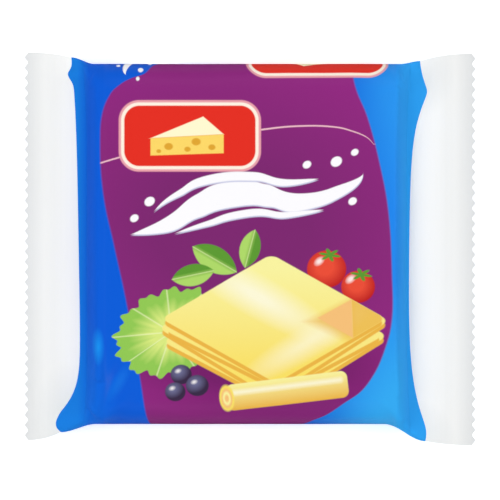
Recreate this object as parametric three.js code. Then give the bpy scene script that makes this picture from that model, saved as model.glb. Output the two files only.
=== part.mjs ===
// A flow-wrapped pack of sliced cheese, lying on its back with the print up.
// One film is drawn tight round a square stack of slices. A flat crimped fin with a zigzag cut closes each
// end, and a lap seam runs along the back. X runs from fin to fin, Y up the front, Z out of the front.
// Lengths are in millimetres, and the origin is under the middle of the whole pack.

import * as THREE from "three";
import { mergeVertices } from "three/addons/utils/BufferGeometryUtils.js";

// The whole pack and the stack of slices inside it
const PACK_LENGTH = 115;
const STACK_HEIGHT = 16;
const BODY_TOP = 47.3;
const BODY_BOTTOM = -44.5;
const LONG_SIDE_RADIUS = 6.5;
const FRONT_CROWN = 0.6;

// An end wall is steep, with a rounded shoulder at the front of the stack, and stands on a crease in the
// film. It leans in as it rises, by a share of the shoulder's width. The crease bows out a little towards the
// corners.
const SHOULDER_WIDTH = 3.4;
const SHOULDER_SQUARENESS = 2.6;
const WALL_LEAN = 0.5;
const CREASE_BOW = 0.9;

// Between the crease and the fin's root the film has a low skirt, narrow except in the ears at the corners.
// Its rise is a share of the wall's, and nearly the most once it is wider than SKIRT_REACH.
const SKIRT_RISE = 0.55;
const SKIRT_REACH = 5;

// The crimped fins leave the end walls at half their height and hang a little towards their tips
const FIN_THICKNESS = 0.5;
const FIN_ROOT_HEIGHT = STACK_HEIGHT / 2;
const FIN_DROOP = 2.6;
const FIN_WAVE = 0.5;
const FIN_WAVE_LENGTH = 64;
const TEETH = 38;
const TOOTH_DEPTH = 0.8;

// The free edge of the lap seam shows as a shallow line along the back
const SEAM_EDGE = -9;
const SEAM_LINE_WIDTH = 1.4;
const SEAM_LINE_DEPTH = 0.35;

// Towards the fins the pack's corners flare out. A flare grows fast past the fin's root, and is nearly level
// at the tip.
const FLARE_SWELL = 2.3;

// The two ends, with the crease's distance from the middle, the skirt's width in the middle, and the lean by
// which it is wider at the top and narrower at the bottom. Each corner has an ear of film, which pushes the
// fin's root outwards, with the Y of its peak, its spread along Y and how blunt its point is. Its flare starts
// at a distance from the middle, and makes the pack wider by so much at the fin's root and at the tip.
const LEFT = {
  side: -1,
  crease: 41.6,
  skirt: 2.1,
  lean: 0.8,
  top: {
    ear: { reach: 1.3, peak: 44.4, spread: 0.45, blunt: 3.0 },
    flare: { start: 39.5, root: 1.7, tip: 3.0 },
  },
  bottom: {
    ear: { reach: 5.9, peak: -43.8, spread: 3.0, blunt: 4.2 },
    flare: { start: 39.2, root: 2.1, tip: 4.2 },
  },
};
const RIGHT = {
  side: 1,
  crease: 40.0,
  skirt: 0.6,
  lean: 0.5,
  top: {
    ear: { reach: 3.7, peak: 39.7, spread: 7.0, blunt: 1.2 },
    flare: { start: 38.5, root: 0.8, tip: 2.7 },
  },
  bottom: {
    ear: { reach: 4.0, peak: -46.5, spread: 8.2, blunt: 3.0 },
    flare: { start: 34.3, root: 4.4, tip: 5.5 },
  },
};

// Steps of the mesh: along X from each tip to the middle, and along the film from one long side to the other
const FIN_STEPS = 3;
const SKIRT_STEPS = 2;
const WALL_STEPS = 6;
const FRONT_STEPS = 3;
const STEPS_ALONG = 2 * (FIN_STEPS + SKIRT_STEPS + WALL_STEPS + FRONT_STEPS);
const STEPS_ACROSS = 2 * TEETH;

const { clamp, lerp, smoothstep } = THREE.MathUtils;

function creaseReach(end, y) {
  return end.crease + CREASE_BOW * (y / BODY_TOP) ** 4;
}

function earReach(ear, y) {
  return ear.reach * Math.exp((ear.blunt - Math.hypot(y - ear.peak, ear.blunt)) / ear.spread);
}

function skirtWidth(end, y) {
  return end.skirt + (end.lean * y) / BODY_TOP + earReach(end.top.ear, y) + earReach(end.bottom.ear, y);
}

// How much wider than its body the pack is above or below, at a distance from the middle. The root's corner
// is at a given Y.
function flareAt(end, flare, cornerY, reach) {
  const cornerReach = creaseReach(end, cornerY) + skirtWidth(end, cornerY);
  const toRoot = smoothstep(reach, flare.start, cornerReach);
  const toTip = clamp((reach - cornerReach) / (PACK_LENGTH / 2 - cornerReach), 0, 1);
  return lerp(flare.root * toRoot, flare.tip, 1 - (1 - toTip) ** FLARE_SWELL);
}

// The profile of an end at one step: its distance from the middle, its rise from the fin, 0, to the front,
// 1, and how far out on the fin it is, from the root, 0, to the tip, 1
function profileAt(end, step, y, onTooth) {
  const crease = creaseReach(end, y);
  const skirt = skirtWidth(end, y);
  const skirtRise = SKIRT_RISE * (1 - Math.exp(-skirt / SKIRT_REACH));
  if (step <= FIN_STEPS) {
    const tip = PACK_LENGTH / 2 - (onTooth ? 0 : TOOTH_DEPTH);
    const out = 1 - step / FIN_STEPS;
    return { reach: lerp(crease + skirt, tip, out), rise: 0, out };
  }
  const onSkirt = (step - FIN_STEPS) / SKIRT_STEPS;
  if (onSkirt <= 1) {
    return { reach: crease + skirt * (1 - onSkirt), rise: skirtRise * onSkirt, out: 0 };
  }
  const onWall = (step - FIN_STEPS - SKIRT_STEPS) / WALL_STEPS;
  if (onWall <= 1) {
    const turn = (onWall * Math.PI) / 2;
    const inward = 1 - Math.cos(turn) ** (2 / SHOULDER_SQUARENESS);
    const up = Math.sin(turn) ** (2 / SHOULDER_SQUARENESS);
    const reach = crease - SHOULDER_WIDTH * lerp(inward, up, WALL_LEAN);
    return { reach, rise: lerp(skirtRise, 1, up), out: 0 };
  }
  const toMiddle = (step - FIN_STEPS - SKIRT_STEPS - WALL_STEPS) / FRONT_STEPS;
  return { reach: (crease - SHOULDER_WIDTH) * (1 - toMiddle), rise: 1, out: 0 };
}

// The film's section from long side to long side over one face: up the side, round the edge and across.
// Share runs along it from 0 to 1, and gives y from the section's middle and z over its foot.
function sectionAt(share, halfWidth, height) {
  const radius = Math.min(LONG_SIDE_RADIUS, height);
  const side = height - radius;
  const arc = (Math.PI / 2) * radius;
  const halfWay = side + arc + halfWidth - radius;
  const way = Math.min(share, 1 - share) * 2 * halfWay;
  const sign = share < 0.5 ? -1 : 1;
  if (way < side) {
    return [sign * halfWidth, way];
  }
  if (way < side + arc) {
    const turn = (way - side) / radius;
    return [sign * (halfWidth - radius + radius * Math.cos(turn)), side + radius * Math.sin(turn)];
  }
  return [sign * (halfWay - way), height];
}

// The place of a point of the grid on the film's front, face 1, or back, face -1
function filmPoint(column, row, face) {
  const end = column * 2 <= STEPS_ALONG ? LEFT : RIGHT;
  const step = Math.min(column, STEPS_ALONG - column);
  const share = row / STEPS_ACROSS;
  const rootTop = BODY_TOP + end.top.flare.root;
  const rootBottom = BODY_BOTTOM - end.bottom.flare.root;
  const { reach, rise, out } = profileAt(end, step, lerp(rootBottom, rootTop, share), row % 2 === 1);

  const top = BODY_TOP + flareAt(end, end.top.flare, rootTop, reach);
  const bottom = BODY_BOTTOM - flareAt(end, end.bottom.flare, rootBottom, reach);
  const height = (rise * (STACK_HEIGHT - FIN_THICKNESS)) / 2;
  const [across, overFoot] = sectionAt(share, (top - bottom) / 2, height);
  const y = (top + bottom) / 2 + across;
  let z = face * (FIN_THICKNESS / 2 + overFoot);
  if (face === 1 && rise > 0) {
    const toEdge = ((2 * share - 1) ** 2 + (reach / end.crease) ** 2) / 2;
    z -= (FRONT_CROWN * toEdge * rise * overFoot) / height;
  }
  if (face === -1 && rise === 1 && Math.abs(y - SEAM_EDGE) < SEAM_LINE_WIDTH / 2) {
    z += SEAM_LINE_DEPTH;
  }
  const wave = FIN_WAVE * Math.sin((2 * Math.PI * y) / FIN_WAVE_LENGTH + end.side);
  return [end.side * reach, y, z + FIN_ROOT_HEIGHT - (FIN_DROOP + wave) * out ** 1.5];
}

// A closed flat box of film, of which every corner is moved to its place
function filmGeometry() {
  const box = new THREE.BoxGeometry(2, 2, 2, STEPS_ALONG, STEPS_ACROSS, 1);
  const points = box.getAttribute("position");
  for (let i = 0; i < points.count; i += 1) {
    const column = Math.round(((points.getX(i) + 1) / 2) * STEPS_ALONG);
    const row = Math.round(((points.getY(i) + 1) / 2) * STEPS_ACROSS);
    points.setXYZ(i, ...filmPoint(column, row, points.getZ(i)));
  }
  box.deleteAttribute("normal");
  box.deleteAttribute("uv");
  const film = mergeVertices(box);
  film.computeVertexNormals();
  return film;
}

const filmMaterial = new THREE.MeshStandardMaterial({ color: 0x2a66c8, roughness: 0.35, metalness: 0 });
const pack = new THREE.Mesh(filmGeometry(), filmMaterial);
pack.name = "pack";

const group = new THREE.Group();
group.add(pack);
export default group;
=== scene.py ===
"""The looks of a flow-wrapped pack of sliced cheese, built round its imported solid.

The pack lies on its back, X from fin to fin, Y up the printed front, Z out of it. The film's form and print
are worked out in millimetres, and its meshes are in metres. The print is painted by nodes, on a map
that holds each point's x and its way across the film, which is Y on the flat front and runs on round to the
back.
"""

import math

import bpy
import numpy as np
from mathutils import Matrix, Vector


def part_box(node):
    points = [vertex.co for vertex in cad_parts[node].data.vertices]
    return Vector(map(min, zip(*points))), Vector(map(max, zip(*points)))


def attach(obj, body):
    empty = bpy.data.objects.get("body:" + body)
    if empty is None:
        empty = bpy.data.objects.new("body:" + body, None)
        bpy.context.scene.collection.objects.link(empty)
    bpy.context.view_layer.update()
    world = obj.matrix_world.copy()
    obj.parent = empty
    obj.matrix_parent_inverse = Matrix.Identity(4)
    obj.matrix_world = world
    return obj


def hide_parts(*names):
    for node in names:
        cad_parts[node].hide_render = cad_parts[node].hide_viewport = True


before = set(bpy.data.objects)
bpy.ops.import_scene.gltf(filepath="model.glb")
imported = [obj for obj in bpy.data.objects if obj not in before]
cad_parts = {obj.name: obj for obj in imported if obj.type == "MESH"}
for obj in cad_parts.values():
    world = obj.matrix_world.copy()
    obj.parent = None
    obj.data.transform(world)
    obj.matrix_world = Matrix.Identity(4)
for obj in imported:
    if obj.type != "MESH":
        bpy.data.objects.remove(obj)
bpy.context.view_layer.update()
LOW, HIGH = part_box("pack")

MM = 0.001
SEED = 11
# The least height, and the least length of a vector, that a sum divides by
LEAST_HEIGHT = 0.001
LEAST_VECTOR = 1e-12

# The pack and its stack of slices, as in the solid
PACK_LENGTH = (HIGH.x - LOW.x) / MM
STACK_HEIGHT = (HIGH.z - LOW.z) / MM
BODY_TOP = 47.3
BODY_BOTTOM = -44.5
BODY_MIDDLE = (BODY_TOP + BODY_BOTTOM) / 2
LONG_SIDE_RADIUS = 6.5
FRONT_CROWN = 0.6
SHOULDER_WIDTH = 3.4
SHOULDER_SQUARENESS = 2.6
WALL_LEAN = 0.5
CREASE_BOW = 0.9
SKIRT_RISE = 0.55
SKIRT_REACH = 5
FIN_THICKNESS = 0.3
FIN_ROOT_HEIGHT = STACK_HEIGHT / 2
FIN_DROOP = 2.6
FIN_BEND = 1.5
FIN_WAVE = 0.5
FIN_WAVE_LENGTH = 64
TEETH = 38
TOOTH_DEPTH = 0.8
LEFT = {
    "side": -1,
    "crease": 41.6,
    "skirt": 2.1,
    "lean": 0.8,
    "top": {
        "ear": {"reach": 1.3, "peak": 44.4, "spread": 0.45, "blunt": 3.0},
        "flare": {"start": 39.5, "root": 1.7, "tip": 3.0},
    },
    "bottom": {
        "ear": {"reach": 5.9, "peak": -43.8, "spread": 3.0, "blunt": 4.2},
        "flare": {"start": 39.2, "root": 2.1, "tip": 4.2},
    },
}
RIGHT = {
    "side": 1,
    "crease": 40.0,
    "skirt": 0.6,
    "lean": 0.5,
    "top": {
        "ear": {"reach": 3.7, "peak": 39.7, "spread": 7.0, "blunt": 1.2},
        "flare": {"start": 38.5, "root": 0.8, "tip": 2.7},
    },
    "bottom": {
        "ear": {"reach": 4.0, "peak": -46.5, "spread": 8.2, "blunt": 3.0},
        "flare": {"start": 34.3, "root": 4.4, "tip": 5.5},
    },
}
FLARE_SWELL = 2.3

# Half the film's way round the body, and where the lap seam's free edge lies on the back
HALF_WAY = STACK_HEIGHT / 2 + BODY_TOP - BODY_MIDDLE - (2 - math.pi / 2) * LONG_SIDE_RADIUS
SEAM_EDGE = -9
SEAM_SHARE = 0.5 + (SEAM_EDGE - BODY_MIDDLE) / (2 * HALF_WAY)
# The lower panel goes on under the seam's flap for a share of the film's way. It sinks in by a step on the
# last share before the edge.
SEAM_LAP = 0.03
SEAM_SINK = 0.12
SEAM_STEP = 0.2
# The flap's edge in the film's own coordinate across the pack, its width, and the pitch of its ribs
SEAM_END = 2 * (BODY_MIDDLE + HALF_WAY) - SEAM_EDGE
SEAM_WIDTH = 11
SEAM_CORNER = 0.1
SEAM_RIB_PITCH = 1.3

# Steps of the film's mesh
ROWS_PER_TOOTH = 8
ROWS = ROWS_PER_TOOTH * TEETH
FIN_STEPS = 56
SKIRT_STEPS = 14
WALL_STEPS = 26
FRONT_STEPS = 84
FOLD_ROWS = 3

# Strips of the bake map, from left to right
WHOLE_STRIP = (0.005, 0.995)
FIN_FRONT_STRIP = (0.005, 0.48)
FIN_BACK_STRIP = (0.5, 0.975)
FIN_EDGE_STRIP = (0.985, 0.995)

# The film's relief, by its height and the size of its features
SLACK = 0.2
SLACK_SIZE = (13, 17)
SLACK_SHIFT = (9, 5)
FINE_SLACK = 0.05
FINE_SLACK_SIZE = (5, 8)
FINE_SLACK_SHIFT = (1, 7)
FIN_SLACK = 0.3
WALL_PLEATS = 0.1
PLEAT_WIDTH = 2.4
PLEAT_LENGTH = 9
SEAL_WAVE = 0.22
SEAL_WAVE_LENGTH = 8
SEAL_RIPPLE = 0.4
SEAL_RIPPLE_LENGTH = 2.6
FIN_RIBS = 0.018
FIN_RIB_PITCH = 1.3
# The slack is whole at this way from the long sides' folds, and at this share of the film's rise
FREE_WAY = 7
FREE_RISE = 1 / 3
# Shares of a fin in which its ribs come in at the root and go out at the tip, and the seal's wave dies away
RIBS_IN = 1 / 6
RIBS_OUT = 1 / 12
SEAL_WAVE_FADE = 1 / 3
# Folds of the front from its corners inwards: start, end, width and height
FRONT_FOLDS = [
    ((-39.8, -41.5), (-33.6, -27), 1.5, 0.7),
    ((-38.4, -33), (-38.2, -19), 1.2, 0.7),
    ((-37.5, -43.5), (-24, -29), 2.2, 0.6),
    ((-39.5, 44), (-31, 36), 1.4, 0.35),
    ((-38.8, 41), (-37.0, 24), 1.0, 0.25),
    ((38.5, 44), (29, 35), 1.6, 0.35),
    ((37.6, 41), (36.8, 22), 1.0, 0.25),
    ((38.5, -42.5), (27, -34), 1.5, 0.4),
    ((37.6, -36), (36.0, -10), 0.9, 0.3),
]
# Shallow dents of the front: depth, centre, radii and angle in radians
FRONT_DENTS = [
    (0.7, (-34.6, -33), (4.4, 2.0), 1.1),
    (0.3, (4, 42), (16, 2.4), 0.0),
    (0.25, (20, -41), (11, 2.2), 0.0),
    (0.3, (-37, 5), (1.6, 16), 0.0),
    (0.25, (36, 8), (1.6, 13), 0.0),
]


def linear(red, green, blue):
    """An 8-bit sRGB colour as Blender's linear one."""
    shares = [value / 255 for value in (red, green, blue)]
    return (*[((share + 0.055) / 1.055) ** 2.4 if share > 0.04 else share / 12.92 for share in shares], 1)


# How much light the film mirrors and how rough it is. The drawn film of the end walls is the roughest.
SPECULAR = 0.12
PRINT_ROUGHNESS = 0.36
WALL_ROUGHNESS = 0.9
FIN_ROUGHNESS = 0.42
WALL_START = 36.5
# The gloss is a little cloudy. Noise is given by the size of its features, its detail and its seed.
CLOUD_NOISE = ((9, 9), 3, 4.1)
CLOUD_ROUGHNESS = 0.14
# Fine crinkles, and the ribs of the back's seam: depth and strength
CRINKLE_NOISE = ((3.2, 5.12), 4, 7.3)
CRINKLES = (0.2, 0.25)
CRIMPS = (0.08, 0.5)

# Colours of the print, and of light and shade painted on the film
BLUE = linear(14, 92, 214)
# Painted light: the low, edge, rim and corner blues. The right blue is partly the print's own tone and
# partly painted light, and the fold blue is a painted highlight.
BLUE_LOW_LIGHT = linear(18, 110, 222)
BLUE_RIGHT = linear(46, 158, 251)
BLUE_EDGE_LIGHT = linear(26, 126, 224)
BLUE_RIM_LIGHT = linear(46, 164, 248)
BLUE_FOLD_HIGHLIGHT = linear(28, 156, 244)
BLUE_CORNER_LIGHT = linear(52, 168, 240)
PURPLE = linear(149, 42, 131)
# The field's darker purple, which at its foot is painted shade
PURPLE_DARK = linear(122, 41, 110)
RED = linear(226, 48, 36)
CREAM = linear(252, 240, 224)
ROSE = linear(232, 160, 170)
MILK = linear(250, 249, 252)
MILK_SHADE = linear(198, 200, 226)
WEDGE_TOP = linear(255, 246, 206)
WEDGE_SIDE = linear(250, 214, 104)
WEDGE_HOLE = linear(222, 164, 52)
LETTUCE = linear(144, 198, 84)
LETTUCE_HEART = linear(216, 232, 128)
LETTUCE_VEIN = linear(238, 244, 190)
TOMATO = linear(232, 78, 56)
TOMATO_DARK = linear(186, 32, 34)
GRAPE = linear(58, 44, 70)
GRAPE_SHEEN = linear(112, 112, 150)
LEAF = linear(172, 214, 104)
LEAF_DARK = linear(92, 152, 52)
LEAF_VEIN = linear(222, 238, 170)
SPARKLE = linear(255, 250, 246)
CHEESE = linear(246, 221, 100)
CHEESE_LIGHT = linear(246, 240, 158)
CHEESE_GLEAM = linear(250, 247, 222)
CHEESE_EDGE = linear(232, 178, 70)
CHEESE_FOLD = linear(243, 190, 120)
SHADOW = linear(84, 22, 78)
LINE = linear(238, 190, 200)
PANEL = linear(228, 240, 250)
FIN = linear(241, 242, 241)
# Painted light whitens the fins' roots, and painted shade greys their edges and the places beside the ears
FIN_ROOT_LIGHT = linear(255, 255, 253)
FIN_EDGE_SHADE = linear(223, 225, 226)
FIN_SHADE = linear(212, 218, 222)

# Shapes of the print. A disc is its centre, two radii, its angle in degrees and how soft its edge is.
SOFT_EDGE = 0.3
# Where a colour comes in, from none of it to all of it: along x, up the film, or outwards on a fin
# Painted light comes in at the blue's left edge and right rim and at the fins' roots, and painted shade at
# the purple's foot and the fins' edges; the blue towards the right is partly print and partly painted light
TO_BLUE_RIGHT = (23, 47)
TO_BLUE_EDGE_LIGHT = (-41, -44)
TO_BLUE_RIM_LIGHT = (37, 40)
TO_PURPLE_FOOT_SHADE = (-32, -42)
TO_FIN_ROOT_LIGHT = (50, 43)
TO_FIN_EDGE_SHADE = (52.5, 57.5)
# Painted light near the corners, and painted highlights along the folds at the lower left: colour, disc,
# share
BLUE_LIGHT_PATCHES = [
    (BLUE_LOW_LIGHT, ((-48, -46), (10, 22), 0, 10), 1),
    (BLUE_CORNER_LIGHT, ((44, -46), (21, 27), 0, 20), 1),
    (BLUE_CORNER_LIGHT, ((37, 40), (10, 18), 0, 14), 0.33),
]
FOLD_HIGHLIGHTS = [
    (BLUE_FOLD_HIGHLIGHT, ((-38.6, -24.8), (0.9, 2.7), 0, 1.6), 0.75),
    (BLUE_FOLD_HIGHLIGHT, ((-33.4, -33.8), (1.2, 3.6), -30, 1.6), 0.2),
]
# The purple field's edges: the film's own coordinate, and x
FIELD_LEFT = [
    (-56, -6), (-53, -19), (-49, -24.5), (-44.7, -25.9), (-32.3, -28.0), (-11.5, -31.8), (-0.1, -34.3),
    (15.7, -37.5), (27.9, -38.1), (33.9, -37.7), (39.4, -35.6), (41.7, -33.4), (43.8, -29.9),
    (45.2, -26.6), (48.5, -24.6), (55, -18), (60, 1),
]
FIELD_RIGHT = [
    (-56, -7), (-53, 4.5), (-48, 12.4), (-45, 15.3), (-42.3, 19.7), (-39.8, 23.0), (-33.9, 30.1),
    (-24.5, 34.6), (-17.6, 36.1), (-6, 36.1), (9.6, 35.2), (22.2, 32.9), (33.5, 29.9), (42.1, 26.6),
    (49.5, 25.4), (55, 20), (60, -5),
]
FIELD_SOFT = 0.5
# The field is darker in the middle, a disc, and has painted shade towards its foot, each by a share
PURPLE_SHADE = ((-5, 6), (42, 34), -8, 36)
PURPLE_SHADE_SHARE = 0.95
PURPLE_FOOT_SHADE_SHARE = 0.5
# The fine line over the field, and half its width along it
LINE_COURSE = [
    (-38, 22), (-30.6, 24.1), (-15, 27.5), (3.1, 30.5), (12.8, 31.4), (20, 31.3), (26, 30.1), (31.4, 26.8),
]
LINE_WIDTHS = [(-38, 0.2), (20, 0.18), (31.4, 0.05)]
LINE_SOFT = 0.25
# The back's pale panel: centre, half its sides and its corners' radius
BLANK_PANEL = ((0, 87), (36, 16), 3)
# The plaques by centre and angle, the second one on the back, and their layers: colour, half sides, corners
PLAQUES = [((-15.3, 28.9), 0), ((17.1, 52.9), 180)]
PLAQUE_LAYERS = [(ROSE, (18.1, 9.1), 5.2), (CREAM, (17.5, 8.5), 4.6), (RED, (16.7, 7.7), 3.9)]
# A plaque's wedge of cheese: its faces by colour and corners, and its holes by place and radius
WEDGE_FACES = [
    (WEDGE_TOP, [(-10, -0.6), (8.6, 0.4), (3.4, 4.9)]),
    (WEDGE_SIDE, [(-10, -5.0), (8.6, -4.4), (8.6, 0.4), (-10, -0.6)]),
]
WEDGE_HOLES = [
    ((-5.4, -2.7), 1.1), ((-0.6, -3.4), 0.8), ((1.6, -1.5), 1.15), ((5.6, -2.9), 0.9), ((-7.9, -3.9), 0.6),
]
HOLE_HEIGHT = 0.8
# The waves by centre, angle and size, the second one on the back
WAVES = [((-1.3, 12.6), 9, 1), ((-23.5, 59.5), 238, 0.55)]
# A wave's bands in its own axes: the middle line, and half the width along it
WAVE_BANDS = [
    (
        [(-31, -4.2), (-22, -3.4), (-12, 0.4), (-3, 2.0), (6, 0.2), (15, -2.8), (24, -1.6), (31, 3.6)],
        [(-31, -0.3), (-24, 1.2), (-14, 2.7), (-4, 3.3), (6, 2.9), (16, 2.0), (25, 1.4), (31, -0.3)],
    ),
    (
        [(-24, 0.2), (-16, 4.4), (-7, 6.6), (3, 5.6), (12, 2.6), (20, 2.4)],
        [(-24, -0.3), (-17, 0.7), (-8, 1.1), (4, 1.1), (13, 0.7), (20, -0.3)],
    ),
    (
        [(-20, -5.8), (-10, -4.4), (0, -3.4), (10, -5.4), (20, -5.6)],
        [(-20, -0.3), (-11, 0.6), (-1, 0.9), (10, 0.7), (20, -0.3)],
    ),
]
# How far a band's shaded foot shows under it
WAVE_FOOT = 0.35
# Its drops by place and radius, and how much longer than high and how far turned they are
WAVE_DROPS = [
    ((24.5, 6.0), 1.2), ((29.5, 7.6), 0.8), ((17.0, 6.4), 0.9), ((-28.5, -0.2), 0.9), ((-24.0, 3.4), 1.1),
    ((27.0, -4.6), 0.9),
]
DROP_LENGTH = 1.25
DROP_TURN = 25

# The food's shadow on the field
FOOD_SHADOW = ((3, -29), (32, 11), -4, 9)
FOOD_SHADOW_SHARE = 0.5
# Basil leaves: centre, length, width and angle. The lighter half comes in across the vein.
BASIL = [((-9, -2.5), 13, 6.5, 150), ((-14.5, -6.5), 11, 5.5, 192), ((0, 0.2), 10, 5.2, 75)]
TO_LIGHT_HALF = (-5 / 6, 5 / 6)
LEAF_VEIN_REACH = 0.25
VEIN_SHARE = 0.6
# The lettuce leaf: centre, radii and angle, the frills of its edge by number and depth, where its heart
# comes in, and its veins
LETTUCE_LEAF = ((-20, -21), (14.5, 10.5), 20)
FRILLS = [(13, 0.05), (29, 0.035)]
TO_HEART = (17 / 22, 7 / 22)
LETTUCE_VEINS = 9
LETTUCE_VEIN_REACH = 1 / 9
# The fruits by centre and radius
TOMATOES = [((19.5, -5.0), 5.0), ((27.5, -9.5), 4.3)]
GRAPES = [((-17.5, -31.8), 2.7), ((-13.4, -34.6), 2.9), ((-19.0, -36.2), 2.6)]
# Their looks: colours, height to width, the lit disc in radii and the sparkle, both from the fruit's middle
TOMATO_LOOK = {
    "colours": (TOMATO_DARK, TOMATO),
    "height": 0.95,
    "lit": ((-0.5, 0.6), (0.8, 0.75), 0, 0.7),
    "sparkle": ((-1.9, 2.0), (1.1, 0.7), 40, 0.8),
}
GRAPE_LOOK = {
    "colours": (GRAPE, GRAPE_SHEEN),
    "height": 0.92,
    "lit": ((-0.6, 0.7), (0.6, 0.5), 20, 0.8),
    "sparkle": ((-0.8, 0.9), (0.6, 0.4), 20, 0.6),
}
SPARKLE_SHARE = 0.8
# A tomato's star of small leaves: how far right of its middle and, in radii, above it, the size, the points
# and their depth, and its reach and softness in its own size
STAR_RIGHT = 0.8
STAR_UP = 0.72
STAR_SIZE = (2.8, 1.7)
STAR_POINTS = 6
STAR_DEPTH = 0.3
STAR_REACH = 0.675
STAR_SOFT = 0.25

# The pile of slices: each one's shift and turn, from the top down
PILE = [(0, 0), (0.8, 2.5), (-0.7, -2), (0.4, 1.5)]
PILE_TOP = (6.0, -17.6)
# A slice's half-axes, how round its corners are, the heights of its cut edge and of a step of the pile, and
# where its light comes in across it
SLICE_AXES = ((14.6, -8.2), (14.0, 8.2))
SLICE_ROUND = 0.12
SLICE_EDGE = 1.1
SLICE_STEP = 1.7
TO_SLICE_LIGHT = (-1.5625, 1.5625)
# Gleams on the top slice: disc and share
GLEAMS = [(((2, -12), (14, 3.2), -29, 5), 0.85), (((14, -24), (11, 2.4), 30, 4), 0.6)]
# Its folded corner, and what that bares and shades of the slices, each by corners, softness and share
CORNER = [(17.2, -17.4), (26.2, -22.5), (25.8, -12.7)]
CORNER_SOFT = 0.4
CORNER_SHADES = [
    ([(26.2, -22.5), (35.0, -17.6), (25.8, -12.7)], 0.4, 0.8),
    ([(15.0, -18.3), (26.2, -23.6), (25.8, -12.7)], 2.5, 0.7),
]
# The rolled-up slice: centre, half its length, radius and angle, and its corners in radii
ROLL = ((9.5, -36.0), 15.5, 3.4, 7)
ROLL_CORNER = 0.5
# The roll's gleam: radii above its middle, how much shorter than it, half its width, corner and edge
ROLL_GLEAM_UP = 0.35
ROLL_GLEAM_INSET = 1.5
ROLL_GLEAM_HALF = 0.5
ROLL_GLEAM_CORNER = 0.4
ROLL_GLEAM_SOFT = 1.2
ROLL_GLEAM_SHARE = 0.9
# The rings on the roll's end, by their share of its radius and colour, and how wide they look and how soft
ROLL_RINGS = [(1.0, CHEESE), (0.74, CHEESE_FOLD), (0.52, CHEESE_LIGHT), (0.28, CHEESE_FOLD)]
RING_WIDTH = 0.55
RING_SOFT = 0.4

# Painted shadow on the fins beside the ears: discs and their share
FIN_SHADOWS = [
    ((-47.5, -45), (5, 8.5), 0, 7),
    ((44.5, -47.5), (4.5, 5), 0, 7),
    ((44.5, 47.5), (4.5, 6), 0, 7),
]
FIN_SHADOW_SHARE = 0.45

# The studio, in metres and watts
FLOOR_HALF = 4
FLOOR_WHITE = 0.95
FLOOR_ROUGHNESS = 0.9
FLOOR_GLOW = 0.4
WORLD_LIGHT = 1.1
WORLD_MIRRORED = 0.25
# The world's light by the sine of its height: dark straight above, where the flat front mirrors it
SKY = [(0, 0.15), (0.35, 0.5), (0.6, 1), (0.85, 1), (0.96, 0.1), (1, 0)]
# Lamps: place, power and whether the film mirrors them
LAMP_SIZE = (1.1, 0.9)
LAMPS = {
    "left": ((-1.1, 0.1, 1.4), 17, False),
    "right": ((1.2, -0.1, 1.2), 10, True),
    "top": ((0.1, 1.1, 1.4), 8.5, False),
    "bottom": ((0.1, -1.1, 1.4), 8.5, False),
}
CAMERA_HEIGHT = 3.0
CAMERA_Y = -0.13 * MM
FRAME_WIDTH = 127.5 * MM
# The camera's sensor, in millimetres
SENSOR_WIDTH = 36


def smooth(t):
    """Eases from 0 to 1 as t does."""
    t = np.clip(t, 0, 1)
    return t * t * (3 - 2 * t)


def value_noise(x, y, seed):
    """Soft noise from -1 to 1, with a feature about every unit."""
    size = 64
    lattice = np.random.default_rng(seed).uniform(-1, 1, (size, size))
    i, j = np.floor(x).astype(int), np.floor(y).astype(int)
    u, v = smooth(x - i), smooth(y - j)
    i, j, i1, j1 = i % size, j % size, (i + 1) % size, (j + 1) % size
    low = lattice[i, j] * (1 - u) + lattice[i1, j] * u
    high = lattice[i, j1] * (1 - u) + lattice[i1, j1] * u
    return low * (1 - v) + high * v


# The film's form


def crease_reach(end, y):
    return end["crease"] + CREASE_BOW * (y / BODY_TOP) ** 4


def ear_reach(ear, y):
    return ear["reach"] * np.exp((ear["blunt"] - np.hypot(y - ear["peak"], ear["blunt"])) / ear["spread"])


def skirt_width(end, y):
    ears = ear_reach(end["top"]["ear"], y) + ear_reach(end["bottom"]["ear"], y)
    return end["skirt"] + end["lean"] * y / BODY_TOP + ears


def flare_at(end, flare, corner_y, reach):
    """How much wider than its body the pack is above or below, at a distance from the middle."""
    corner_reach = crease_reach(end, corner_y) + skirt_width(end, corner_y)
    to_root = smooth((reach - flare["start"]) / (corner_reach - flare["start"]))
    to_tip = np.clip((reach - corner_reach) / (PACK_LENGTH / 2 - corner_reach), 0, 1)
    rooted = flare["root"] * to_root
    return rooted + (flare["tip"] - rooted) * (1 - (1 - to_tip) ** FLARE_SWELL)


def root_corners(end):
    """Y of the two ends of the fin's root."""
    return BODY_BOTTOM - end["bottom"]["flare"]["root"], BODY_TOP + end["top"]["flare"]["root"]


def root_height(end, share):
    """Y along the fin's root, for a share of the way from one long side to the other."""
    low, high = root_corners(end)
    return low + (high - low) * share


def outline(end, reach):
    """The pack's lower and upper edge at a distance from the middle."""
    low, high = root_corners(end)
    bottom = BODY_BOTTOM - flare_at(end, end["bottom"]["flare"], low, reach)
    return bottom, BODY_TOP + flare_at(end, end["top"]["flare"], high, reach)


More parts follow.
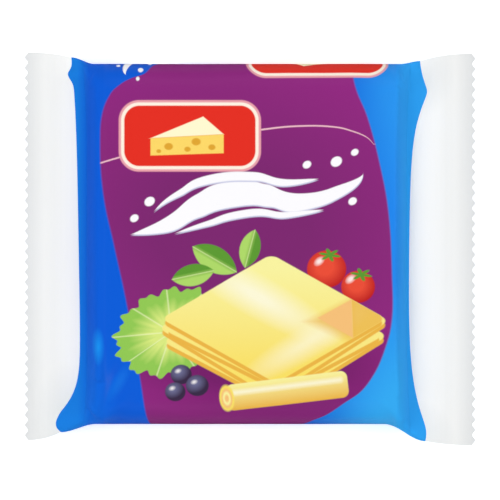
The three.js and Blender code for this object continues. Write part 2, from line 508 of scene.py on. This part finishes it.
def body_profile(end, y):
    """Reach and rise of each column from the fin's root to the middle, for each row's y at the root."""
    crease = crease_reach(end, y)
    skirt = skirt_width(end, y)
    skirt_rise = SKIRT_RISE * (1 - np.exp(-skirt / SKIRT_REACH))
    on_skirt = np.linspace(0, 1, SKIRT_STEPS, endpoint=False)[:, None]
    turn = np.linspace(0, math.pi / 2, WALL_STEPS, endpoint=False)[:, None]
    to_middle = np.linspace(0, 1, FRONT_STEPS + 1)[:, None]
    inward = 1 - np.cos(turn) ** (2 / SHOULDER_SQUARENESS)
    up = np.sin(turn) ** (2 / SHOULDER_SQUARENESS)
    reach = [
        crease + skirt * (1 - on_skirt),
        crease - SHOULDER_WIDTH * (inward + (up - inward) * WALL_LEAN),
        (crease - SHOULDER_WIDTH) * (1 - to_middle),
    ]
    level = np.ones_like(to_middle * y)
    rise = [skirt_rise * on_skirt, skirt_rise + (1 - skirt_rise) * up, level]
    return np.vstack(reach), np.vstack(rise)


def section_at(share, half_width, height):
    """The film's section over one face: y from the section's middle, and z over its foot."""
    radius = np.minimum(LONG_SIDE_RADIUS, height)
    side = height - radius
    arc = math.pi / 2 * radius
    half_way = side + arc + half_width - radius
    way = np.minimum(share, 1 - share) * 2 * half_way
    turn = np.clip((way - side) / np.maximum(radius, LEAST_HEIGHT), 0, math.pi / 2)
    beyond = np.maximum(way - side - arc, 0)
    y = half_width - radius + radius * np.cos(turn) - beyond
    z = np.where(way < side, way, side + radius * np.sin(turn))
    return np.where(share < 0.5, -y, y), z


def foot(share):
    """Half the seal's thickness, which goes to nothing at the folds along the long sides."""
    return FIN_THICKNESS / 2 * smooth(np.minimum(share, 1 - share) * ROWS / FOLD_ROWS)


def seal_wave(share):
    """How far the seal at the fin's root waves up and down."""
    way = share * 2 * HALF_WAY
    ripple = SEAL_RIPPLE * value_noise(way / SEAL_RIPPLE_LENGTH, 0 * way, SEED)
    return SEAL_WAVE * (ripple + value_noise(way / SEAL_WAVE_LENGTH, 0 * way, SEED + 1))


def half_body(end, face, share):
    """The body's film on one side of the middle: its points, and their rise from the fin to the front."""
    reach, rise = body_profile(end, root_height(end, share))
    bottom, top = outline(end, reach)
    height = rise * STACK_HEIGHT / 2
    across, over = section_at(share, (top - bottom) / 2, height)
    if face == 1:
        to_edge = ((2 * share - 1) ** 2 + (reach / end["crease"]) ** 2) / 2
        over -= FRONT_CROWN * to_edge * rise * over / np.maximum(height, LEAST_HEIGHT)
    z = FIN_ROOT_HEIGHT + face * (over + foot(share) * (1 - rise)) + seal_wave(share) * (1 - rise) ** 2
    return np.stack([end["side"] * reach, (top + bottom) / 2 + across, z], axis=-1), rise


def whole_body(face, share):
    """The body's film from fin to fin, with the left fin's root first."""
    left, left_rise = half_body(LEFT, face, share)
    right, right_rise = half_body(RIGHT, face, share)
    return np.vstack([left, right[-2::-1]]), np.vstack([left_rise, right_rise[-2::-1]])


def fin(end, face, share):
    """One fin's film, from the tip to the root."""
    root = body_profile(end, root_height(end, share))[0][:1]
    tip = PACK_LENGTH / 2 - TOOTH_DEPTH * (0.5 + 0.5 * np.cos(2 * math.pi * TEETH * share))
    out = np.linspace(1, 0, FIN_STEPS + 1)[:, None]
    reach = root + (tip - root) * out
    bottom, top = outline(end, reach)
    y = bottom + (top - bottom) * share
    out = (reach - root) / (PACK_LENGTH / 2 - root)
    wave = FIN_WAVE * np.sin(2 * math.pi * (y - (top + bottom) / 2) / FIN_WAVE_LENGTH + end["side"])
    ribs = FIN_RIBS * np.sin(2 * math.pi * reach / FIN_RIB_PITCH)
    ribs *= smooth(out / RIBS_IN) * smooth((1 - out) / RIBS_OUT)
    slack = FIN_SLACK * value_noise(reach / SLACK_SIZE[0], y / SLACK_SIZE[1], SEED + 5) * out
    z = FIN_ROOT_HEIGHT - (FIN_DROOP + wave) * out**FIN_BEND
    z += seal_wave(share) * np.exp(-out / SEAL_WAVE_FADE) + ribs + slack
    return np.stack([end["side"] * reach, y, z + face * foot(share)], axis=-1)


# The film's relief


def film_way(share, face):
    """The film's own coordinate across the pack: Y on the flat front, and on round to the back's seam."""
    front = BODY_MIDDLE + (2 * share - 1) * HALF_WAY
    turn_at = BODY_MIDDLE + np.where(share < SEAM_SHARE, -HALF_WAY, HALF_WAY)
    return front if face == 1 else 2 * turn_at - front


def film_noise(x, way, size, shift, seed):
    """Soft noise on the film, with features of a size."""
    return value_noise(x / size[0] + shift[0], way / size[1] + shift[1], seed)


def bump(x, y, centre, radii, angle):
    """A soft round bump of height 1."""
    dx, dy = x - centre[0], y - centre[1]
    u = (dx * math.cos(angle) + dy * math.sin(angle)) / radii[0]
    v = (dy * math.cos(angle) - dx * math.sin(angle)) / radii[1]
    return np.exp(-(u * u + v * v))


def fold(x, y, start, end, width, height):
    """A narrow fold along a line, of full height at its start and none at its end."""
    along = np.array(end) - np.array(start)
    length = np.hypot(*along)
    u = ((x - start[0]) * along[0] + (y - start[1]) * along[1]) / length
    v = ((y - start[1]) * along[0] - (x - start[0]) * along[1]) / length
    return height * smooth(1 + u / width) * (1 - smooth(u / length)) * np.exp(-((v / width) ** 2))


def body_relief(x, way, rise, share, face):
    """How far the body's film stands off its plain form, which it keeps along its edges."""
    slack = SLACK * film_noise(x, way, SLACK_SIZE, SLACK_SHIFT, SEED + 2)
    slack += FINE_SLACK * film_noise(x, way, FINE_SLACK_SIZE, FINE_SLACK_SHIFT, SEED + 3)
    pleats = WALL_PLEATS * value_noise(way / PLEAT_WIDTH, x / PLEAT_LENGTH, SEED + 4)
    pleats *= 4 * rise * (1 - rise)
    free = smooth(rise / FREE_RISE) * smooth(2 * HALF_WAY * np.minimum(share, 1 - share) / FREE_WAY)
    if face == -1:
        return pleats - free * np.abs(slack)
    folds = sum(fold(x, way, *line) for line in FRONT_FOLDS)
    dents = sum(depth * bump(x, way, *dent) for depth, *dent in FRONT_DENTS)
    return pleats + free * (slack + folds - dents)


def normals_of(points, face):
    """The unit normals of a grid of points, which point out of the pack."""
    normals = np.cross(np.gradient(points, axis=0), np.gradient(points, axis=1)) * face
    return normals / np.maximum(np.linalg.norm(normals, axis=-1, keepdims=True), LEAST_VECTOR)


def grid_faces(columns, rows, start, turned):
    """Quads of a grid of vertices that are numbered column by column."""
    i, j = np.meshgrid(np.arange(columns - 1), np.arange(rows - 1), indexing="ij")
    a = start + i * rows + j
    quads = np.stack([a, a + rows, a + rows + 1, a + 1], axis=-1).reshape(-1, 4)
    return quads[:, ::-1] if turned else quads


def map_places(u, v):
    """The pairs of u and v on a grid, which either may be given for all of its columns or rows at once."""
    return np.stack(np.broadcast_arrays(u, v), axis=-1)


class Film:
    """Collects grids of film into one smooth mesh, with its maps for the print and for baking."""

    def __init__(self):
        self.points, self.faces, self.print_map, self.bake_map = [], [], [], []
        self.count = 0

    def add(self, points, way, bake, turned):
        """Adds a grid of points, with its way across the film and its places on the bake map."""
        columns, rows = points.shape[:2]
        self.faces.append(grid_faces(columns, rows, self.count, turned))
        self.points.append(points.reshape(-1, 3))
        self.print_map.append(map_places(points[..., 0], way).reshape(-1, 2))
        self.bake_map.append(bake.reshape(-1, 2))
        self.count += columns * rows

    def piece(self, name, material):
        """Makes the mesh into a named piece of the pack."""
        mesh = bpy.data.meshes.new(name)
        mesh.from_pydata(np.vstack(self.points) * MM, [], np.vstack(self.faces).tolist())
        mesh.polygons.foreach_set("use_smooth", np.ones(len(mesh.polygons), bool))
        corners = np.zeros(len(mesh.loops), np.int32)
        mesh.loops.foreach_get("vertex_index", corners)
        for map_name, places in (("Print", self.print_map), ("OFBake", self.bake_map)):
            layer = mesh.uv_layers.new(name=map_name)
            layer.uv.foreach_set("vector", np.vstack(places)[corners].astype(np.float32).ravel())
        mesh.materials.append(material)
        made = bpy.data.objects.new(name, mesh)
        bpy.context.scene.collection.objects.link(made)
        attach(made, "root")
        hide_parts("pack")


def bake_places(points, share, strip):
    """An even unwrapping of a grid into a strip of the bake map."""
    steps = np.linalg.norm(np.diff(points[:, points.shape[1] // 2], axis=0), axis=-1)
    along = np.concatenate([[0], np.cumsum(steps)]) / steps.sum()
    left, right = strip
    return map_places(left + (right - left) * along[:, None], share)


def body_grid(film, face, share, lift=0.0):
    """Adds the body's film on one face, with its relief, and lifted where it is free."""
    points, rise = whole_body(face, share)
    way = film_way(share, face)
    relief = body_relief(points[..., 0], way, rise, share, face)[..., None]
    bake = bake_places(points, share, WHOLE_STRIP)
    points = points + normals_of(points, face) * relief
    points[..., 2] += lift * rise
    film.add(points, way, bake, face == -1)


def make_front(material):
    """The printed front, in one layer."""
    film = Film()
    body_grid(film, 1, np.linspace(0, 1, ROWS + 1)[None, :])
    film.piece("film_front", material)


def make_back(material):
    """The back in two layers: the panel that ends in the seam's flap lies over the other one's edge."""
    share = np.linspace(0, 1, ROWS + 1)
    over = np.concatenate([[SEAM_SHARE], share[share > SEAM_SHARE + 0.5 / ROWS]])[None, :]
    under = share[share < SEAM_SHARE + SEAM_LAP][None, :]
    film = Film()
    body_grid(film, -1, over)
    body_grid(film, -1, under, SEAM_STEP * smooth(1 - (SEAM_SHARE - under) / SEAM_SINK))
    film.piece("film_back", material)


def make_fin(end, name, material):
    """A fin: its front and back sheets, and the cut edge of the seal between them."""
    share = np.linspace(0, 1, ROWS + 1)[None, :]
    film = Film()
    sheets = {}
    for face, strip in ((1, FIN_FRONT_STRIP), (-1, FIN_BACK_STRIP)):
        points = fin(end, face, share)
        sheets[face] = points
        turned = face * end["side"] == 1
        film.add(points, film_way(share, 1), bake_places(points, share, strip), turned)
    edge = np.stack([sheets[-1][0], sheets[1][0]])
    bake = map_places(np.array(FIN_EDGE_STRIP)[:, None], share)
    film.add(edge, film_way(share, 1), bake, end["side"] == 1)
    film.piece(name, material)


# The print


def placed(centre, angle, x, y, size=1):
    """A point in a shape's own axes as a place on the print."""
    turn = math.radians(angle)
    cos, sin = size * math.cos(turn), size * math.sin(turn)
    return centre[0] + x * cos - y * sin, centre[1] + x * sin + y * cos


def set_knots(node, spots):
    """Puts the knots of a float curve's node in their places."""
    knots = node.mapping.curves[0].points
    knots[0].location, knots[-1].location = spots[0], spots[-1]
    for spot in spots[1:-1]:
        knots.new(*spot)
    node.mapping.update()


class Painter:
    """Makes one material's nodes, and paints one shape over another on the print map, in millimetres."""

    def __init__(self, name):
        self.material = bpy.data.materials.new(name)
        self.material.use_nodes = True
        self.tree = self.material.node_tree
        self.tree.nodes.clear()
        self.place = self.node("ShaderNodeUVMap", uv_map="Print").outputs["UV"]
        self.colour = None

    def node(self, kind, **settings):
        made = self.tree.nodes.new(kind)
        for setting, value in settings.items():
            setattr(made, setting, value)
        return made

    def feed(self, socket, value):
        if isinstance(value, bpy.types.NodeSocket):
            self.tree.links.new(value, socket)
        else:
            socket.default_value = value

    def math(self, operation, *values, clamp=False):
        made = self.node("ShaderNodeMath", operation=operation, use_clamp=clamp)
        for socket, value in zip(made.inputs, values):
            self.feed(socket, value)
        return made.outputs[0]

    def vector(self, operation, *values):
        made = self.node("ShaderNodeVectorMath", operation=operation)
        for socket, value in zip(made.inputs, values):
            self.feed(socket, (*value, 0) if isinstance(value, tuple) else value)
        return made.outputs["Value" if operation in ("LENGTH", "DOT_PRODUCT") else "Vector"]

    def split(self, vector):
        made = self.node("ShaderNodeSeparateXYZ")
        self.feed(made.inputs[0], vector)
        return made.outputs[0], made.outputs[1]

    def join(self, x, y):
        made = self.node("ShaderNodeCombineXYZ")
        self.feed(made.inputs[0], x)
        self.feed(made.inputs[1], y)
        return made.outputs[0]

    def noise(self, size, detail, seed):
        """Noise from 0 to 1 on the print map, with features of a size."""
        made = self.node("ShaderNodeTexNoise", noise_dimensions="3D")
        self.feed(made.inputs["Vector"], self.vector("ADD", self.local((0, 0), 0, size), (seed, -seed)))
        made.inputs["Scale"].default_value = 1
        made.inputs["Detail"].default_value = detail
        return made.outputs[0]

    def ramp(self, value, start, end):
        """Rises from 0 where a value is at its start to 1 where it is at its end."""
        span = end - start
        return self.math("MULTIPLY_ADD", value, 1 / span, -start / span, clamp=True)

    def curve(self, value, points):
        """A smooth curve through points, as a function of value."""
        starts, ends = zip(*points)
        low, span = min(starts), max(starts) - min(starts)
        floor, rise = min(ends), max(ends) - min(ends)
        made = self.node("ShaderNodeFloatCurve")
        self.feed(made.inputs["Value"], self.ramp(value, low, low + span))
        set_knots(made, [((start - low) / span, (end - floor) / rise) for start, end in points])
        return self.math("MULTIPLY_ADD", made.outputs[0], rise, floor)

    def local(self, centre, angle=0.0, size=(1, 1)):
        """The place seen from a shape's own centre and axes, in its own size."""
        made = self.node("ShaderNodeMapping", vector_type="TEXTURE")
        self.feed(made.inputs["Vector"], self.place)
        made.inputs["Location"].default_value = (*centre, 0)
        made.inputs["Rotation"].default_value = (0, 0, math.radians(angle))
        made.inputs["Scale"].default_value = (*size, 1)
        return made.outputs[0]

    def inside(self, distance, soft=SOFT_EDGE, limit=0, size=1):
        """A mask of where a distance, which is measured in a size, is below a limit."""
        return self.math("MULTIPLY_ADD", distance, -size / soft, 0.5 + limit * size / soft, clamp=True)

    def disc(self, centre, radii, angle=0.0, soft=SOFT_EDGE):
        return self.inside(self.vector("LENGTH", self.local(centre, angle, radii)), soft, 1, min(radii))

    def past_corner(self, place, corner):
        """How far a place is outside a rectangle about the middle, of which one corner is given."""
        past = self.vector("SUBTRACT", self.vector("ABSOLUTE", place), corner)
        return self.vector("LENGTH", self.vector("MAXIMUM", past, (0, 0)))

    def plate(self, centre, half, radius, angle=0.0, soft=SOFT_EDGE):
        """A rectangle with round corners."""
        past = self.past_corner(self.local(centre, angle), (half[0] - radius, half[1] - radius))
        return self.inside(past, soft, radius)

    def slab(self, centre, a, b):
        """A parallelogram with half-axes a and b: its mask, and the place along them from -1 to 1."""
        area = a[0] * b[1] - a[1] * b[0]
        seen = self.local(centre)
        u = self.vector("DOT_PRODUCT", seen, (b[1] / area, -b[0] / area))
        v = self.vector("DOT_PRODUCT", seen, (-a[1] / area, a[0] / area))
        past = self.past_corner(self.join(u, v), (1 - SLICE_ROUND, 1 - SLICE_ROUND))
        size = abs(area) / max(math.hypot(*a), math.hypot(*b))
        return self.inside(past, SOFT_EDGE, SLICE_ROUND, size), u, v

    def polygon(self, corners, soft=SOFT_EDGE):
        """A convex polygon, with its corners anticlockwise."""
        distance = None
        for start, end in zip(corners, corners[1:] + corners[:1]):
            length = math.dist(start, end)
            across = ((end[1] - start[1]) / length, (start[0] - end[0]) / length)
            offset = across[0] * start[0] + across[1] * start[1]
            beyond = self.math("SUBTRACT", self.vector("DOT_PRODUCT", self.place, across), offset)
            distance = beyond if distance is None else self.math("MAXIMUM", distance, beyond)
        return self.inside(distance, soft)

    def band(self, centre, angle, line, widths, size=1, soft=SOFT_EDGE):
        """A stroke of changing width along a curve, in axes of its own."""
        x, y = self.split(self.local(centre, angle, (size, size)))
        away = self.math("ABSOLUTE", self.math("SUBTRACT", y, self.curve(x, line)))
        return self.inside(self.math("SUBTRACT", away, self.curve(x, widths)), soft)

    def direction(self, seen):
        """The way from a shape's middle to a place, as an angle."""
        x, y = self.split(seen)
        return self.math("ARCTAN2", y, x)

    def ripple(self, direction, crests, depth):
        """A wave of so many crests round a shape."""
        wave = self.math("SINE", self.math("MULTIPLY", direction, crests))
        return self.math("MULTIPLY", wave, depth)

    def scaled(self, mask, share):
        return self.math("MULTIPLY", mask, share)

    def blend(self, share, first, second):
        """The first colour where the share is 0, and the second where it is 1."""
        made = self.node("ShaderNodeMix", data_type="RGBA")
        self.feed(made.inputs[0], share)
        self.feed(made.inputs[6], first)
        self.feed(made.inputs[7], second)
        return made.outputs[2]

    def over(self, colour, mask):
        self.colour = self.blend(mask, self.colour, colour)

    def tint(self, colour, disc, share, mask=1):
        """A share of a colour on a disc, where a mask lets it."""
        self.over(colour, self.math("MULTIPLY", self.scaled(self.disc(*disc), share), mask))

    def embossed(self, height, depth, strength):
        """A bump's node, for a relief of a depth in millimetres."""
        made = self.node("ShaderNodeBump")
        made.inputs["Strength"].default_value = strength
        made.inputs["Distance"].default_value = depth * MM
        self.feed(made.inputs["Height"], height)
        return made


def paint_ground(p):
    """Blue from end to end, with the purple field on it. Returns the field's mask."""
    x, y = p.split(p.place)
    # The blue lightens towards the right, partly as the print's own tone and partly as painted light
    p.colour = p.blend(p.ramp(x, *TO_BLUE_RIGHT), BLUE, BLUE_RIGHT)
    # Painted light near the corners
    for colour, disc, share in BLUE_LIGHT_PATCHES:
        p.tint(colour, disc, share)
    # Painted light on the blue's left edge and right rim
    p.over(BLUE_EDGE_LIGHT, p.ramp(x, *TO_BLUE_EDGE_LIGHT))
    p.over(BLUE_RIM_LIGHT, p.ramp(x, *TO_BLUE_RIM_LIGHT))
    # Painted highlights along the folds at the lower left
    for colour, disc, share in FOLD_HIGHLIGHTS:
        p.tint(colour, disc, share)
    from_left = p.math("SUBTRACT", p.curve(y, FIELD_LEFT), x)
    from_right = p.math("SUBTRACT", x, p.curve(y, FIELD_RIGHT))
    field = p.inside(p.math("MAXIMUM", from_left, from_right), FIELD_SOFT)
    middle = p.scaled(p.disc(*PURPLE_SHADE), PURPLE_SHADE_SHARE)
    # Painted shade towards the field's foot
    foot = p.scaled(p.ramp(y, *TO_PURPLE_FOOT_SHADE), PURPLE_FOOT_SHADE_SHARE)
    p.over(p.blend(p.math("MAXIMUM", middle, foot), PURPLE, PURPLE_DARK), field)
    return field


def paint_plaque(p, centre, angle):
    """A red plaque with a cream rim, and a wedge of cheese on it."""
    for colour, half, radius in PLAQUE_LAYERS:
        p.over(colour, p.plate(centre, half, radius, angle))
    for colour, corners in WEDGE_FACES:
        p.over(colour, p.polygon([placed(centre, angle, *corner) for corner in corners]))
    for spot, radius in WEDGE_HOLES:
        p.over(WEDGE_HOLE, p.disc(placed(centre, angle, *spot), (radius, radius * HOLE_HEIGHT), angle))


def paint_wave(p, centre, angle, size):
    """A wave of milk with its drops."""
    lower = placed(centre, angle, 0, -WAVE_FOOT, size)
    for line, widths in WAVE_BANDS:
        p.over(MILK_SHADE, p.band(lower, angle, line, widths, size))
        p.over(MILK, p.band(centre, angle, line, widths, size))
    for spot, radius in WAVE_DROPS:
        radii = (size * radius * DROP_LENGTH, size * radius)
        p.over(MILK, p.disc(placed(centre, angle, *spot, size), radii, angle + DROP_TURN))


def paint_lettuce(p, centre, radii, angle):
    """A round leaf of lettuce with a frilled edge, a pale heart and veins."""
    seen = p.local(centre, angle, radii)
    direction = p.direction(seen)
    frill = p.math("ADD", *[p.ripple(direction, *each) for each in FRILLS])
    reach = p.math("ADD", p.vector("LENGTH", seen), frill)
    leaf = p.blend(p.ramp(reach, *TO_HEART), LETTUCE, LETTUCE_HEART)
    vein = p.math("ABSOLUTE", p.ripple(direction, LETTUCE_VEINS / 2, 1))
    vein = p.ramp(p.math("MULTIPLY", vein, reach), LETTUCE_VEIN_REACH, 0)
    leaf = p.blend(p.scaled(vein, VEIN_SHARE), leaf, LETTUCE_VEIN)
    p.over(leaf, p.inside(reach, SOFT_EDGE, 1, min(radii)))


def paint_fruit(p, centre, radius, look):
    """A round fruit, lit from the upper left."""
    dark, light = look["colours"]
    body = p.disc(centre, (radius, radius * look["height"]))
    p.over(dark, body)
    shift, radii, angle, soft = look["lit"]
    radii = (radius * radii[0], radius * radii[1])
    p.tint(light, (placed(centre, 0, *shift), radii, angle, radius * soft), 1, body)
    shift, *shape = look["sparkle"]
    p.tint(SPARKLE, (placed(centre, 0, *shift), *shape), SPARKLE_SHARE)


def paint_tomato(p, centre, radius):
    """A tomato with its star of small leaves."""
    paint_fruit(p, centre, radius, TOMATO_LOOK)
    seen = p.local(placed(centre, 0, STAR_RIGHT, radius * STAR_UP), 0, STAR_SIZE)
    points = p.ripple(p.direction(seen), STAR_POINTS, STAR_DEPTH)
    reach = p.math("ADD", p.vector("LENGTH", seen), points)
    p.over(LEAF_DARK, p.inside(reach, STAR_SOFT, STAR_REACH))


def paint_leaf(p, centre, length, width, angle):
    """A pointed leaf between two arcs, with a lighter half and a pale vein."""
    half, bow = length / 2, width / 2
    offset = (half * half - bow * bow) / (2 * bow)
    seen = p.local(centre, angle)
    reach = p.vector("LENGTH", p.vector("ADD", p.vector("ABSOLUTE", seen), (0, offset)))
    mask = p.inside(reach, SOFT_EDGE, offset + bow)
    side = p.split(seen)[1]
    p.over(p.blend(p.ramp(side, *TO_LIGHT_HALF), LEAF_DARK, LEAF), mask)
    vein = p.ramp(p.math("ABSOLUTE", side), LEAF_VEIN_REACH, 0)
    p.over(LEAF_VEIN, p.math("MULTIPLY", vein, p.scaled(mask, VEIN_SHARE)))


def paint_slice(p, centre, a, b):
    """One slice of a pile: its cut edge, and its face with soft light over it. Returns the face's mask."""
    edge, _, _ = p.slab((centre[0], centre[1] - SLICE_EDGE), a, b)
    p.over(CHEESE_EDGE, edge)
    face, u, v = p.slab(centre, a, b)
    light = p.ramp(p.math("SUBTRACT", v, u), *TO_SLICE_LIGHT)
    p.over(p.blend(light, CHEESE, CHEESE_LIGHT), face)
    return face


def paint_pile(p):
    """The pile of slices from the bottom up, with gleams and a folded corner on the top one."""
    for level in range(len(PILE) - 1, -1, -1):
        shift, turn = PILE[level]
        a, b = [placed((0, 0), turn, *axis) for axis in SLICE_AXES]
        face = paint_slice(p, (PILE_TOP[0] + shift, PILE_TOP[1] - SLICE_STEP * level), a, b)
    for disc, share in GLEAMS:
        p.tint(CHEESE_GLEAM, disc, share, face)
    for corners, soft, share in CORNER_SHADES:
        shade = p.scaled(p.polygon(corners, soft), share)
        p.over(CHEESE_EDGE, p.math("MULTIPLY", face, shade))
    p.over(CHEESE_FOLD, p.polygon(CORNER, CORNER_SOFT))


def paint_roll(p, centre, half, radius, angle):
    """A rolled-up slice, lying across the front."""
    up = p.split(p.local(centre, angle))[1]
    body = p.plate(centre, (half, radius), radius * ROLL_CORNER, angle)
    p.over(p.blend(p.ramp(up, -radius, radius), CHEESE_EDGE, CHEESE_LIGHT), body)
    above = (centre[0], centre[1] + radius * ROLL_GLEAM_UP)
    gleam_half = (half - ROLL_GLEAM_INSET, ROLL_GLEAM_HALF)
    gleam = p.plate(above, gleam_half, ROLL_GLEAM_CORNER, angle, ROLL_GLEAM_SOFT)
    p.over(CHEESE_GLEAM, p.scaled(gleam, ROLL_GLEAM_SHARE))
    end = placed(centre, angle, -half, 0)
    for share, colour in ROLL_RINGS:
        p.over(colour, p.disc(end, (radius * RING_WIDTH * share, radius * share), angle, RING_SOFT))


def paint_food(p, field):
    """A pile of slices and a roll on a lettuce leaf, with tomatoes, grapes and basil round them."""
    p.tint(SHADOW, FOOD_SHADOW, FOOD_SHADOW_SHARE, field)
    for leaf in BASIL:
        paint_leaf(p, *leaf)
    paint_lettuce(p, *LETTUCE_LEAF)
    for tomato in TOMATOES:
        paint_tomato(p, *tomato)
    paint_pile(p)
    paint_roll(p, *ROLL)
    for grape in GRAPES:
        paint_fruit(p, *grape, GRAPE_LOOK)


def finish_film(p, roughness):
    """The film's gloss, with its fine crinkles."""
    shader = p.node("ShaderNodeBsdfPrincipled")
    p.feed(shader.inputs["Base Color"], p.colour)
    cloudy = p.math("MULTIPLY_ADD", p.noise(*CLOUD_NOISE), CLOUD_ROUGHNESS, -CLOUD_ROUGHNESS / 2)
    p.feed(shader.inputs["Roughness"], p.math("ADD", cloudy, roughness))
    shader.inputs["Specular IOR Level"].default_value = SPECULAR
    ribs = p.math("SINE", p.math("MULTIPLY", p.split(p.place)[1], 2 * math.pi / SEAM_RIB_PITCH))
    on_seam = p.plate((0, SEAM_END - SEAM_WIDTH / 2), (PACK_LENGTH / 2, SEAM_WIDTH / 2), SEAM_CORNER)
    crimp = p.embossed(p.math("MULTIPLY", ribs, on_seam), *CRIMPS)
    crinkle = p.embossed(p.noise(*CRINKLE_NOISE), *CRINKLES)
    p.feed(crinkle.inputs["Normal"], crimp.outputs[0])
    p.feed(shader.inputs["Normal"], crinkle.outputs[0])
    output = p.node("ShaderNodeOutputMaterial")
    p.feed(output.inputs["Surface"], shader.outputs[0])


def print_material():
    """The printed film of the body."""
    p = Painter("printed film")
    field = paint_ground(p)
    p.over(PANEL, p.plate(*BLANK_PANEL))
    course = p.band((0, 0), 0, LINE_COURSE, LINE_WIDTHS, soft=LINE_SOFT)
    p.over(LINE, p.math("MULTIPLY", course, field))
    for plaque in PLAQUES:
        paint_plaque(p, *plaque)
    for wave in WAVES:
        paint_wave(p, *wave)
    paint_food(p, field)
    drawn = p.math("SUBTRACT", p.math("ABSOLUTE", p.split(p.place)[0]), WALL_START, clamp=True)
    finish_film(p, p.math("MULTIPLY_ADD", drawn, WALL_ROUGHNESS - PRINT_ROUGHNESS, PRINT_ROUGHNESS))
    return p.material


def fin_material():
    """The white film of the fins."""
    p = Painter("white film")
    reach = p.math("ABSOLUTE", p.split(p.place)[0])
    # Painted light whitens the fins towards their roots
    p.colour = p.blend(p.ramp(reach, *TO_FIN_ROOT_LIGHT), FIN, FIN_ROOT_LIGHT)
    # Painted shade greys the fins' outer edges
    p.over(FIN_EDGE_SHADE, p.ramp(reach, *TO_FIN_EDGE_SHADE))
    # Painted shadow beside the ears
    for disc in FIN_SHADOWS:
        p.tint(FIN_SHADE, disc, FIN_SHADOW_SHARE)
    finish_film(p, FIN_ROUGHNESS)
    return p.material


# The studio


def make_floor():
    """A large white floor, which glows a little."""
    mesh = bpy.data.meshes.new("floor")
    corners = [(FLOOR_HALF * x, FLOOR_HALF * y, 0) for x, y in ((-1, -1), (1, -1), (1, 1), (-1, 1))]
    mesh.from_pydata(corners, [], [(0, 1, 2, 3)])
    made = bpy.data.objects.new("floor", mesh)
    # The film mirrors dark studio from below, not the lit floor, which would wash out its walls
    made.visible_glossy = False
    bpy.context.scene.collection.objects.link(made)
    paper = bpy.data.materials.new("floor")
    paper.use_nodes = True
    shader = paper.node_tree.nodes["Principled BSDF"]
    shader.inputs["Base Color"].default_value = (FLOOR_WHITE, FLOOR_WHITE, FLOOR_WHITE, 1)
    shader.inputs["Roughness"].default_value = FLOOR_ROUGHNESS
    shader.inputs["Emission Color"].default_value = (1, 1, 1, 1)
    shader.inputs["Emission Strength"].default_value = FLOOR_GLOW
    mesh.materials.append(paper)
    return made


def make_sky():
    """Light from all round, of which the film mirrors only a part."""
    world = bpy.data.worlds.new("studio")
    world.use_nodes = True
    nodes = world.node_tree.nodes
    links = world.node_tree.links
    seen = nodes.new("ShaderNodeTexCoord")
    axes = nodes.new("ShaderNodeSeparateXYZ")
    dome = nodes.new("ShaderNodeFloatCurve")
    set_knots(dome, SKY)
    rays = nodes.new("ShaderNodeLightPath")
    dimmed = nodes.new("ShaderNodeMath")
    dimmed.operation = "MULTIPLY_ADD"
    dimmed.inputs[1].default_value = WORLD_LIGHT * (WORLD_MIRRORED - 1)
    dimmed.inputs[2].default_value = WORLD_LIGHT
    strength = nodes.new("ShaderNodeMath")
    strength.operation = "MULTIPLY"
    links.new(seen.outputs["Generated"], axes.inputs[0])
    links.new(axes.outputs[2], dome.inputs["Value"])
    links.new(rays.outputs["Is Glossy Ray"], dimmed.inputs[0])
    links.new(dimmed.outputs[0], strength.inputs[1])
    links.new(dome.outputs[0], strength.inputs[0])
    links.new(strength.outputs[0], nodes["Background"].inputs["Strength"])
    bpy.context.scene.world = world


def make_lamp(name, place, power, mirrored):
    """A lamp that points at the pack."""
    light = bpy.data.lights.new(name, "AREA")
    light.shape = "RECTANGLE"
    light.size, light.size_y = LAMP_SIZE
    light.energy = power
    made = bpy.data.objects.new(name, light)
    made.location = place
    made.rotation_euler = (-made.location).to_track_quat("-Z", "Y").to_euler()
    made.visible_glossy = mirrored
    bpy.context.scene.collection.objects.link(made)


def make_camera():
    """The photo's camera, straight above the pack. Its frame is measured at the fins' roots."""
    lens = bpy.data.cameras.new("camera")
    lens.sensor_width = SENSOR_WIDTH
    lens.lens = SENSOR_WIDTH * (CAMERA_HEIGHT - FIN_ROOT_HEIGHT * MM) / FRAME_WIDTH
    camera = bpy.data.objects.new("camera", lens)
    camera.location = (0, CAMERA_Y, CAMERA_HEIGHT)
    bpy.context.scene.collection.objects.link(camera)
    bpy.context.scene.camera = camera
    bpy.context.scene.view_settings.view_transform = "Standard"


printed = print_material()
white = fin_material()
make_front(printed)
make_back(printed)
make_fin(LEFT, "fin_left", white)
make_fin(RIGHT, "fin_right", white)

floor = make_floor()
make_sky()
for lamp, setting in LAMPS.items():
    make_lamp(lamp, *setting)
make_camera()
